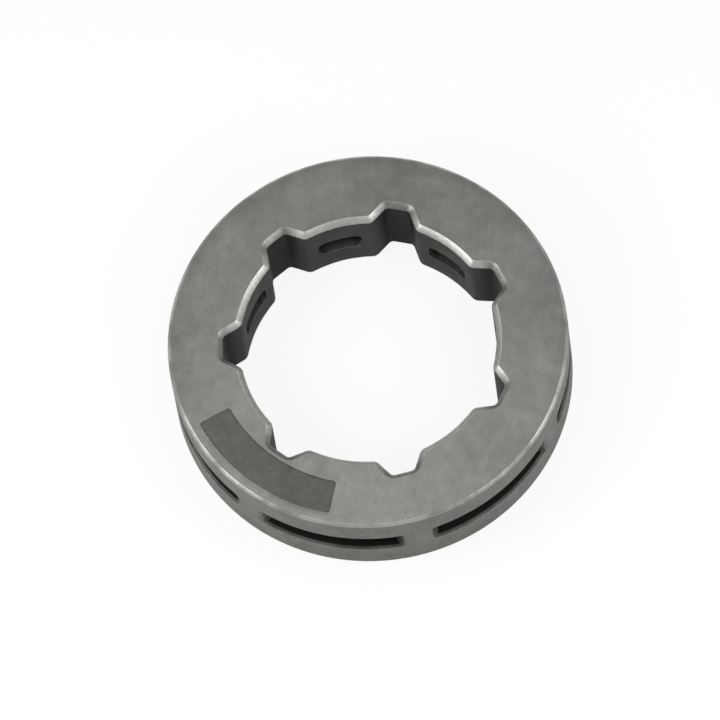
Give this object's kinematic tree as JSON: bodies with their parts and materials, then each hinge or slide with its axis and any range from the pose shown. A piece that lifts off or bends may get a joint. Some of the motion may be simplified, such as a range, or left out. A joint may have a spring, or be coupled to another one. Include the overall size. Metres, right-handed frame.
{
  "type": "chainsaw rim sprocket",
  "caption": "Steel ring that drives a saw chain: splined bore for the clutch drum's hub, two outer rims for the chain's straps and windows between teeth for its drive links.",
  "frame": {"origin": "centre of the lower face, on the axis of rotation", "axes": "+Z along the axis of rotation, towards the face with the sunk marking field; +X through the middle of a spline groove"},
  "size_m": [0.035, 0.035, 0.0085],
  "materials": {
    "sintered_steel": "bare grey sintered steel, matt, slightly mottled, with brighter worn edges"
  },
  "bodies": {
    "root": {"rim_sprocket": "sintered_steel"}
  },
  "joints": []
}
